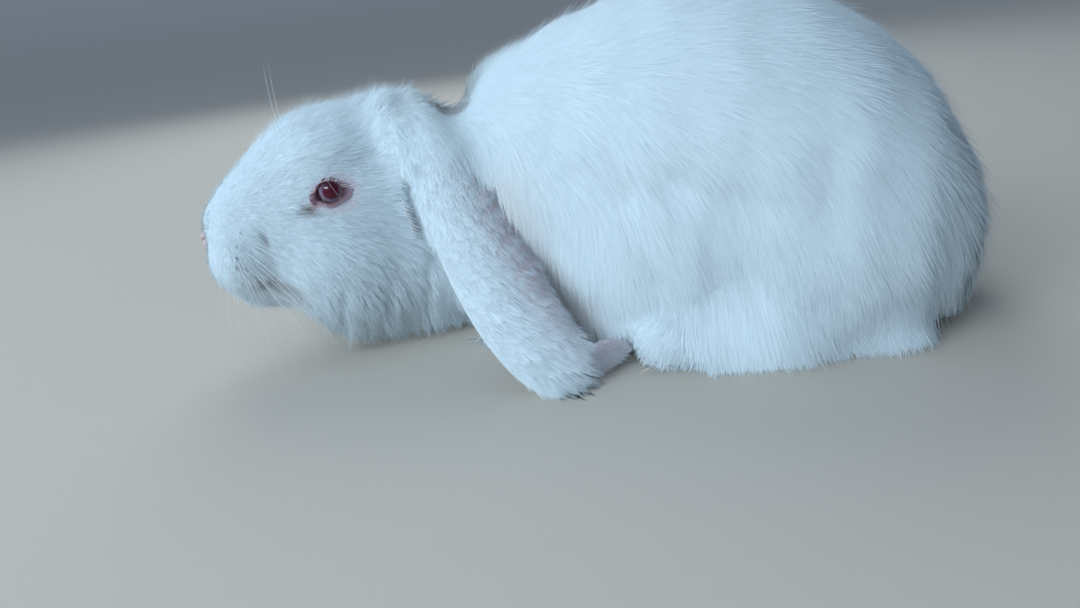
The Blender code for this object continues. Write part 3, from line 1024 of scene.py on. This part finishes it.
def coatPiece(name, inside, count, kind, seed):
    # tufts rooted on the triangles where inside is true
    p, n = sampleRoots(skinPoints, skinFaces, skinNormals, inside, count, seed)[2:]
    bare = isBare(p, toHead(p))
    p, n = p[~bare], n[~bare]
    h, hem, length = toHead(p), hemShare(p), bodyLength(p)
    furry = onTrunk(p) * (1 - onFoot(p))
    about = {key: mixed(*pair, furry) for key, pair in looks.items()}
    about["fringe"] += 2.5 * hem
    about["loose"] *= fade(fromNose(h), 10, 55)
    # painted light: less painted shade at the tufts' feet on the cheek by the slit, so it is
    # lighter
    about["dusk"] -= 0.28 * mark(h, "afterSlit", (8, 14, 20))
    about["gather"] += 0.55 * hem
    about["highest"] += coatDepth(p)
    lean = np.degrees(np.arcsin(np.clip(coatDepth(p) / length, 0.1, 0.6)))
    about |= {
        "seed": seed,
        "length": length,
        "tipLift": lean + coatStand(p, n),
        "coarse": hem,
        # shade is the tufts' tone; its fall towards the rump is painted shade on the side away from
        # the lamps
        "shade": mixed(0.99, 0.93 - 0.10 * fade(p[:, 0], 140, 190), furry),
        "cell": 7.0 if kind == "trunk" else 3.4,
        "sag": 0.04 * furry,
        "uv": unwrapped(p, kind),
        "slot": "white_coat",
    }
    growTufts(name, p, n, bodyFlow(p, n), about | markings(p))


def makeCoat():
    # each side has a piece on the head and three belts on the body, parted at the cuts
    fore, rear = (napeX + cut for cut in coat["cuts"])
    belts = (("fore", -999, fore, 5), ("mid", fore, rear, 7), ("rear", rear, 999, 9))
    x, y, _ = skinPoints[skinFaces].mean(1).T
    ahead, left, _ = toHead(skinPoints[skinFaces].mean(1)).T
    inHead = ahead > 4
    for name, side in bothSides:
        coatPiece("coat_face_" + name, inHead & (left * side > 0), coat["face"], "head", 3)
        for part, low, high, seed in belts:
            inside = ~inHead & ((y - bodyMiddle) * side < 0) & (x >= low) & (x < high)
            coatPiece(f"coat_{part}_{name}", inside, coat["trunk"], "trunk", seed)


def earCoat(name, side):
    points, faces, normals, flow, extra = ears[name]
    outer, along, edge = (extra[key][faces].mean(1) for key in ("outer", "along", "edge"))
    inner = 0.45 * fade(along, 0.44, 0.5) * (1 - fade(np.abs(edge), 0.35, 0.6))
    inner *= 1 - fade(along, 0.82, 0.86) * (along < 0.93)
    onOuter = fade(along, 0.24, 0.34) * (1 - fade(np.abs(edge), 0.86, 0.96))
    density = mixed(inner, onOuter, outer)
    corners, share, p, n = sampleRoots(points, faces, normals, density, coat["ear"], 21)
    f = unit(atRoots(flow, corners, share))
    f = unit(f - dot(f, n) * n)
    here = {key: atRoots(value, corners, share) for key, value in extra.items()}
    along, edge, isOuter = here["along"], here["edge"], here["outer"] > 0.5
    lobe = fade(along, 0.87, 0.92)
    fringe = fade(along, 0.66, 0.78) * (1 - lobe)
    crimp = earCrimp(here, (0.6, 0.72))
    swing = 0.12 * waves(p, 26, 41) + 0.30 * crimp * np.sin(along * 105 + edge * 4)
    swing += np.where(isOuter, 0.5, -0.5) * side * fade(along, 0.42, 0.60) * (1 - lobe)
    f = unit(f + np.cross(n, f) * swing[:, None])
    # at the tip the front half fans outwards along the floor and the rear half backwards
    front = (1 - fade(edge, -0.5, 0.3))[:, None]
    tipWay = mixed(sided((0.80, -0.35, -0.55), side), sided((0.25, -0.85, -0.5), side), front)
    f = unit(mixed(f, unit(tipWay - dot(n, tipWay) * n), 0.6 * fringe[:, None]))
    length = mixed(13.0, 9.5, fade(along, 0.12, 0.35)) + 2.5 * fringe
    length = mixed(length, 4.6, lobe) * mixed(1, 0.8, crimp)
    length = np.where(isOuter, length, 3.0)
    about = {
        "seed": 22,
        "length": length,
        "width": 0.44,
        "lift": 12.0,
        "spread": 0.20,
        "fringe": 2.0 + 2.0 * fringe + 2.0 * lobe,
        "loose": 1.0,
        "coarse": 0.0 * length,
        # painted light: the lobe's tufts get less painted shade at their feet, which lightens the
        # lobe
        "dusk": 0.50 - 0.35 * lobe,
        "grain": 0.085,
        "shade": 0.985,
        "tipLift": 8.0 + 4 * fringe + 8 * lobe + 12 * (1 - fade(along, 0.08, 0.3)),
        "highest": 6.2,
        "cell": 4.2,
        "gather": 0.42,
        "sag": 0.0,
        "relief": 0.85,
        "blush": earBlush(here),
        "stain": 0.0 * length,
        "warm": 0.0 * length,
        "uv": 0.01 + 0.98 * np.stack([along, (edge + 1) / 4 + 0.5 * ~isOuter], -1),
        "slot": "ear_coat",
    }
    growTufts("coat_ear_" + name, p, n, f, about)


makeCoat()
for earName, earSide in bothSides:
    earCoat(earName, earSide)

eyeLook = {
    "bulge": 0.8,
    "corneaAngle": 38,
    "inset": 0.35,
    "gaze": (0.03, 0.98, 0.16),
    "rows": 38,
    "columns": 56,
    "lidShade": (0.05, 0.006, 0.015),
    # the share of a right angle from the pupil's middle, and the colour there
    "stops": (
        (0.0, (0.074, 0.0, 0.014)),
        (0.255, (0.085, 0.001, 0.018)),
        (0.30, (0.10, 0.05, 0.085)),
        (0.36, (0.23, 0.16, 0.26)),
        (0.44, (0.13, 0.08, 0.13)),
        (0.53, (0.05, 0.012, 0.022)),
    ),
}


def eyeFinish():
    wet = {"Coat_Weight": 1.0, "Coat_Roughness": 0.02, "Coat_IOR": 1.33}
    made = Finish("ruby_eye", Roughness=0.4, Specular_IOR_Level=0.1, **wet)
    streak = made.noise(0.9, 3.0) * 0.12
    share = made.attribute("polar") + streak * 0.6 - 0.036
    stops = {"stops": eyeLook["stops"]}
    ramp = made.node("ShaderNodeValToRGB", stops, {"Fac": share}, "Color")
    made.feed("Base Color", made.blend(made.attribute("lidShade"), ramp, eyeLook["lidShade"]))
    return made


def gazeOf(side):
    return unit(sided(eyeLook["gaze"], side)) @ headAxes


def makeEye(name, side):
    # a ball whose front swells into a cornea: radius = ball + bulge * exp(-(angle / 38 deg)^2)
    gaze, rows, columns = gazeOf(side), eyeLook["rows"], eyeLook["columns"]
    across = unit(np.cross(up, gaze))
    above = np.cross(gaze, across)
    angle = np.linspace(0, math.pi, rows + 2)[1:-1, None]
    turn = wholeTurn(columns)
    cornea = eyeLook["bulge"] * bell(angle / math.radians(eyeLook["corneaAngle"]))
    radius = eyeRadius - eyeLook["inset"] + cornea
    grid = (
        (radius * np.cos(angle))[..., None] * gaze
        + (radius * np.sin(angle) * np.cos(turn))[..., None] * across
        + (radius * np.sin(angle) * np.sin(turn))[..., None] * above
    )
    around = np.vstack([grid.reshape(-1, 3), gaze * radius[0, 0], -gaze * radius[-1, 0]])
    points = eyeCentre[side] + around
    mesh = outwards(meshOf("eyeball_" + name, points, tubeFaces(rows, columns)))
    numberOf(mesh, "polar", np.r_[np.repeat(angle[:, 0], columns), 0, math.pi] / math.pi * 2)
    # the upper lid shades the ball's top
    height = ((points - eyeCentre[side]) @ above) / eyeRadius
    numberOf(mesh, "lidShade", 0.85 * fade(height, 0.12, 0.48))
    wear(addObject("eyeball_" + name, mesh), rubyEye, "eye", "eye_" + name)


rubyEye = eyeFinish()
for eyeName, eyeSide in bothSides:
    makeEye(eyeName, eyeSide)


def fleshFinish(name, pink, deep, **constants):
    # bare pink skin that darkens where the attribute deep is high
    made = Finish(name, **constants)
    made.feed("Base Color", made.blend(made.attribute("deep"), pink, deep))
    return made


lid = {
    "half": (6.4, 5.3),
    "shift": (1.3, -0.6),
    "width": 0.9,
    "thick": 0.65,
    "rest": 4.9,
    "rows": 72,
    "columns": 12,
    "pink": (0.48, 0.32, 0.40),
    "deep": (0.10, 0.012, 0.03),
}
wetLook = {"Roughness": 0.45, "Specular_IOR_Level": 0.5, "Coat_Weight": 0.3, "Coat_Roughness": 0.2}
barePink = fleshFinish("bare_pink", lid["pink"], lid["deep"], **wetLook)


def eyeAxes(side):
    gaze = gazeOf(side)
    ahead = unit(aheadWay - gaze * (aheadWay @ gaze))
    return gaze, ahead, unit(up - gaze * (up @ gaze) - ahead * (up @ ahead))


def makeLid(name, side):
    # A ring swept around the eye's almond opening. The opening is an ellipse drawn out to a low
    # front corner and to a rear corner; the ring's section is an ellipse leaning on the ball.
    gaze, ahead, above = eyeAxes(side)
    turn = wholeTurn(lid["rows"])
    c, s = np.cos(turn), np.sin(turn)
    front, rear = np.maximum(c, 0) ** 6, np.maximum(-c, 0) ** 6
    x = lid["half"][0] * c + 1.5 * front - 0.9 * rear + lid["shift"][0]
    y = lid["half"][1] * s - 1.8 * front + 0.3 * rear + lid["shift"][1]
    tangent = unit(np.stack([np.gradient(x), np.gradient(y)], -1))
    width = lid["width"] + 0.5 * np.maximum(-s, 0) + 1.7 * np.maximum(-c, 0) ** 5
    # the front corner is filled by flesh that reaches in over the ball
    width += 0.9 * front - 0.3 * np.maximum(s, 0)
    section = wholeTurn(lid["columns"])
    offset = width[:, None] * (0.75 + np.cos(section)) - 1.1 * front[:, None]
    px = x[:, None] + tangent[:, 1:] * offset
    py = y[:, None] - tangent[:, :1] * offset
    reach = np.maximum((eyeRadius + 0.25) ** 2 - np.hypot(px, py) ** 2, lid["rest"] ** 2)
    depth = np.sqrt(reach) + lid["thick"] * np.sin(section)
    grid = px[..., None] * ahead + py[..., None] * above + depth[..., None] * gaze
    faces = gridFaces(lid["rows"] + 1, lid["columns"]) % (lid["rows"] * lid["columns"])
    points = eyeCentre[side] + grid.reshape(-1, 3)
    mesh = outwards(meshOf("lid_" + name, points, faces))
    deep = np.clip(0.2 - 0.95 * np.cos(section) + 0.8 * np.maximum(s, 0)[:, None], 0, 1)
    # deep darkens the inner margin and the upper half; in the front corner it is painted shade
    numberOf(mesh, "deep", np.maximum(deep, 0.8 * (front[:, None] > 0.5)).ravel())
    wear(addObject("lid_" + name, mesh), barePink, "bare_skin")


for eyeName, eyeSide in bothSides:
    makeLid(eyeName, eyeSide)

hairFinish = Finish("whisker_white", Roughness=0.4, Base_Color=(0.85, 0.86, 0.88))
poreLook = {"Roughness": 0.8, "Specular_IOR_Level": 0.1, "Base_Color": (0.30, 0.34, 0.40)}
poreFinish = Finish("whisker_pore", **poreLook)
hornFinish = Finish("pale_horn", Roughness=0.4, Base_Color=(0.62, 0.52, 0.45))


def strands(name, starts, ways, falls, lengths, radii, finish=hairFinish, **other):
    # Curved cones. Each one's middle line is start + length * (t * way + t^2 * fall), and its
    # radius shrinks to a point. One way, fall, length or radius may stand for all of them.
    sides, rings, count = other.get("sides", 5), other.get("rings", 12), len(starts)
    t = np.linspace(0, 1, rings)[None, :, None]
    starts, ways, falls = (np.broadcast_to(v, (count, 3))[:, None] for v in (starts, ways, falls))
    lengths, radii = (np.broadcast_to(v, count)[:, None, None] for v in (lengths, radii))
    line = starts + lengths * (t * ways + t**2 * falls)
    line[..., 2] = np.maximum(line[..., 2], 0.6)
    along = unit(np.gradient(line, axis=1))
    # a way that no strand follows, a little off upright
    across = unit(np.cross(along, up + [0.01, 0.02, 0]))[:, :, None]
    above = np.cross(along[:, :, None], across)
    turn = wholeTurn(sides)[None, None, :, None]
    size = (radii * (1 - t) ** 0.8 + 0.02)[..., None]
    grid = line[:, :, None] + size * (np.cos(turn) * across + np.sin(turn) * above)
    caps = np.array([[0, k + 1, k] for k in range(1, sides - 1)])
    tipCaps = caps[:, [0, 2, 1]] + (rings - 1) * sides
    each = np.vstack([halved(gridFaces(rings, sides)), caps, tipCaps])
    every = (np.arange(count)[:, None, None] * rings * sides + each).reshape(-1, 3)
    mesh = outwards(meshOf(name, grid.reshape(-1, 3), every))
    wear(addObject(name, mesh), finish, other.get("slot", "white_coat"))


def skinPlace(target):
    # the point of the skin nearest to a place given in the head's millimetres
    return skinPoints[np.argmin(((skinInHead - target) ** 2).sum(1))]


whisker = {
    "rows": 5,
    "columns": 4,
    "fall": (0.10, 0, -0.42),
    "length": (30, 44),
    "radius": (0.10, 0.17),
}
# the hairs that rise over the eye: place, way and length
overEye = (
    ((74, 14, 117), (0.10, 0.25, 1.0), 34),
    ((72, 15, 117), (-0.75, 0.20, 0.8), 18),
    ((68, 18, 116), (-0.10, 0.50, 0.9), 15),
)


def makeWhiskers(name, side, rng):
    starts, ways, lengths = [], [], []
    for row, column in np.ndindex(whisker["rows"], whisker["columns"]):
        place = (110 - column * 3.6 + row * 0.6, 24 + column * 1.2, 74 - row * 4.4 - column * 1.3)
        starts.append(skinPlace(sided(place, side)))
        forward = 0.10 - 0.30 * column + rng.normal(0, 0.10)
        ways.append((forward, 0.75 - 0.05 * row, -0.15 - 0.20 * row + rng.normal(0, 0.10)))
        lengths.append(rng.uniform(*whisker["length"]) + 7 * column)
    for place, way, length in overEye:
        starts.append(skinPlace(sided(place, side)))
        ways.append(way)
        lengths.append(length)
    falls = np.tile(whisker["fall"], (len(ways), 1))
    falls[-len(overEye):] = (-0.10 * aheadWay) + [0, 0, 0.06]
    radii = rng.uniform(*whisker["radius"], len(ways))
    strands("whiskers_" + name, starts, unit(sided(ways, side)) @ headAxes, falls, lengths, radii)


lash = {"count": 16, "from": 35, "to": 165, "half": (6.9, 5.7), "length": (4, 6.5), "radius": 0.08}


def makeLashes(name, side, rng):
    # they stand on the upper lid and lean outwards and back
    gaze, ahead, above = eyeAxes(side)
    count = lash["count"]
    turn = np.radians(np.linspace(lash["from"], lash["to"], count)) + rng.normal(0, 0.05, count)
    c, s = np.cos(turn)[:, None], np.sin(turn)[:, None]
    x, y = lash["half"][0] * c + lid["shift"][0], lash["half"][1] * s + lid["shift"][1]
    out = np.sqrt(eyeRadius**2 - np.minimum(x**2 + y**2, 60)) + 0.8
    roots = eyeCentre[side] + x * ahead + y * above + out * gaze
    ways = unit((0.55 * c - 0.5) * ahead + 0.55 * above * s + 0.75 * gaze)
    size = rng.uniform(*lash["length"], count)
    strands("lashes_" + name, roots, ways, -0.30 * above, size, lash["radius"])


# Other hairs in the head's axes: places on the skin, how far off them they start, and so on.
porePlaces = (
    (104.2, 26, 76.7),
    (107, 26, 71.5),
    (108.5, 26, 65.4),
    (110.5, 26, 61),
    (105.9, 26, 58),
)
headHairs = {
    # the dark pores of the whisker pad lie on the coat as short flat streaks
    "pores": {
        "places": porePlaces,
        "offset": [((ahead - 108) * 0.06, out * 0.06, 0) for ahead, out, _ in porePlaces],
        "ways": (-0.35, 0.15, -1.0),
        "fall": (0, 0, -0.1),
        "lengths": 2.2,
        "radius": 0.42,
        "finish": poreFinish,
    },
    # curled locks lie across the slit before the ear
    "locks": {
        "places": [(22.4 - 0.16 * (84 - z), 42, z) for z in np.linspace(84, 67, 8)],
        "offset": (-0.64, 3.136, 0),
        "ways": [(-0.35 - 0.05 * (k % 3), 0.22, -1.0) for k in range(8)],
        "fall": (-0.50, 0.05, 0.28),
        "lengths": (6.5, 8, 6, 7.5, 7, 8, 6.5, 7),
        "radius": 0.5,
    },
    # two fine hairs hang across the eye
    "brow": {
        "places": ((64, 34, 103), (60, 34, 105)),
        "offset": (0, 0, 0),
        "ways": ((-0.20, 0.42, -1.0), (-0.55, 0.62, -1.0)),
        "fall": (0, 0, -0.05),
        "lengths": (26, 24),
        "radius": 0.055,
    },
}


def makeHairs(kind, name, side):
    about = headHairs[kind]
    roots = [skinPlace(place) for place in sided(about["places"], side)]
    roots = np.array(roots) + sided(about["offset"], side) @ headAxes
    ways, fall = sided(about["ways"], side) @ headAxes, sided(about["fall"], side) @ headAxes
    finish = about.get("finish", hairFinish)
    strands(f"{kind}_{name}", roots, unit(ways), fall, about["lengths"], about["radius"], finish)


hairRandom = np.random.default_rng(8)
for hairName, hairSide in bothSides:
    makeWhiskers(hairName, hairSide, hairRandom)
    makeHairs("pores", hairName, hairSide)
    makeLashes(hairName, hairSide, hairRandom)
    makeHairs("locks", hairName, hairSide)
    makeHairs("brow", hairName, hairSide)
print("whiskers, pores, lashes, locks and brow hairs")

nose = {
    "half": (5.0, 7.4, 6.0),
    "back": 2.1,
    "drop": 5.0,
    "rows": 28,
    "columns": 40,
    "pink": (0.74, 0.56, 0.58),
    # the deep colour is painted shade, in the nostrils and the middle groove
    "deep": (0.22, 0.05, 0.07),
}


def makeNose():
    # An ellipsoid whose radius is cut by two comma-shaped nostrils and a middle groove.
    tilt = np.linspace(0, math.pi, nose["rows"])[:, None]
    turn = wholeTurn(nose["columns"])
    x, y, z = np.cos(tilt) + 0 * turn, np.sin(tilt) * np.cos(turn), np.sin(tilt) * np.sin(turn)
    out = np.abs(y)
    nostril = bell((z - 0.10 - 0.9 * (out - 0.5)) / 0.16) * bell((out - 0.52) / 0.30)
    split = bell(y / 0.09) * fade(0.25 - z, 0, 0.3)
    radius = 1 - 0.30 * nostril - 0.14 * split
    middle = [noseTip[0] - nose["back"], 0, noseTip[2] - nose["drop"]]
    grid = fromHead(np.stack([x, y, z], -1) * radius[..., None] * nose["half"] + middle)
    mesh = meshOf("nose", grid.reshape(-1, 3), gridFaces(nose["rows"], nose["columns"]))
    # deep is painted shade in the nostrils' dents and the middle groove
    numberOf(mesh, "deep", np.clip(1.1 * nostril + 0.6 * split, 0, 1).ravel())
    wear(addObject("nose", outwards(mesh)), nosePink, "bare_skin")


noseLook = {"Roughness": 0.5, "Specular_IOR_Level": 0.4}
nosePink = fleshFinish("nose_pink", nose["pink"], nose["deep"], **noseLook)
makeNose()

claw = {"count": 4, "height": 4.5, "way": (-1, 0, -0.25), "fall": (0, 0, -0.35)}


def makeClaws():
    starts = []
    for node, paw in paws.items():
        front = corner(node, 0)[0] + paw["back"]
        for side in (-1, 1):
            for k in range(claw["count"]):
                out = paw["claw"] + k * paw["pitch"]
                starts.append((front, bodyMiddle + side * out, claw["height"]))
    way = unit(np.array(claw["way"], float))
    strands("claws", starts, way, claw["fall"], 5.0, 0.8, hornFinish, slot="horn", sides=8, rings=8)


makeClaws()
print("nose and claws")

camera = {"place": (38.2, -400.2, 160.0), "lens": 24.67, "azimuth": 10, "pitch": 21.2, "roll": 7.2}


def makeCamera():
    # turned to the azimuth, then pitched down, then rolled about its line of sight
    a, t, r = (math.radians(camera[key]) for key in ("azimuth", "pitch", "roll"))
    level = np.array([-math.sin(a), math.cos(a), 0])
    levelRight = np.array([math.cos(a), math.sin(a), 0])
    look = math.cos(t) * level - math.sin(t) * up
    pitchedUp = math.sin(t) * level + math.cos(t) * up
    right = math.cos(r) * levelRight - math.sin(r) * pitchedUp
    above = math.sin(r) * levelRight + math.cos(r) * pitchedUp
    data = bpy.data.cameras.new("camera")
    data.sensor_width, data.lens, data.clip_start = 36, camera["lens"], 0.01
    made = addObject("camera", data)
    turn = Matrix(np.stack([right, above, -look]).T.tolist()).to_4x4()
    made.matrix_world = Matrix.Translation(Vector(camera["place"]) * mm) @ turn
    bpy.context.scene.camera = made


# Lamps, in metres: place, size, power, colour and the rays that don't see them. The two glints
# show in the eyes only.
lamps = {
    "key": ((-1.45, -1.05, 0.95), 1.3, 15.5, (0.76, 0.905, 1.0), "glossy"),
    "fill": ((-0.85, -1.4, 0.95), 1.3, 12.7, (0.78, 0.915, 1.0), "glossy"),
    "glint": ((-0.74, -1.09, 0.95), 0.30, 9, (0.85, 0.96, 1.0), "diffuse"),
    "second_glint": ((-0.42, -1.20, 0.97), 0.30, 7, (0.85, 0.96, 1.0), "diffuse"),
    "rear": ((-0.5, 1.3, 1.3), 1.4, 13, (0.86, 0.96, 1.0), "glossy"),
}
lampTarget = np.array([0.02, 0, 0.08])
# the sky is as bright as the far floor at the horizon, brighter overhead and dimmer to the rear
sky = {
    "stops": ((0.02, (0.145, 0.172, 0.205)), (0.55, (0.27, 0.35, 0.46))),
    "rear": (0.10, 0.12, 0.145),
}
ground = {"half": 40.0, "colour": (0.60, 0.545, 0.475)}


def makeLamp(name, place, size, power, colour, unseenBy):
    data = bpy.data.lights.new(name, "AREA")
    data.shape, data.size, data.energy, data.color = "DISK", size, power, colour
    made = addObject(name, data)
    made.location = place
    way = Vector(lampTarget - np.array(place))
    made.rotation_euler = way.to_track_quat("-Z", "Y").to_euler()
    setattr(made, "visible_" + unseenBy, False)


def makeSky():
    world = bpy.data.worlds.new("studio")
    bpy.context.scene.world = world
    world.use_nodes = True
    made = Nodes(world.node_tree)
    way = made.node("ShaderNodeTexCoord", {}, {}, "Generated")
    x, z = (made.node("ShaderNodeSeparateXYZ", {}, {"Vector": way}, axis) for axis in "XZ")
    ramp = made.node("ShaderNodeValToRGB", {"stops": sky["stops"]}, {"Fac": z}, "Color")
    background = made.tree.nodes["Background"].inputs["Color"]
    made.plug(background, made.blend(x, ramp, sky["rear"]))


def makeStage():
    corners = np.array([(-1, -1, 0), (1, -1, 0), (1, 1, 0), (-1, 1, 0)])
    floor = addObject("floor", meshOf("floor", corners * ground["half"] / mm, [(0, 1, 2, 3)]))
    finish = Finish("pale_floor", Roughness=0.7, Base_Color=ground["colour"])
    floor.data.materials.append(finish.material)
    for name, settings in lamps.items():
        makeLamp(name, *settings)
    makeSky()
    bpy.context.scene.view_settings.view_transform = "Standard"


makeCamera()
makeStage()
print("camera, lamps, sky and floor")
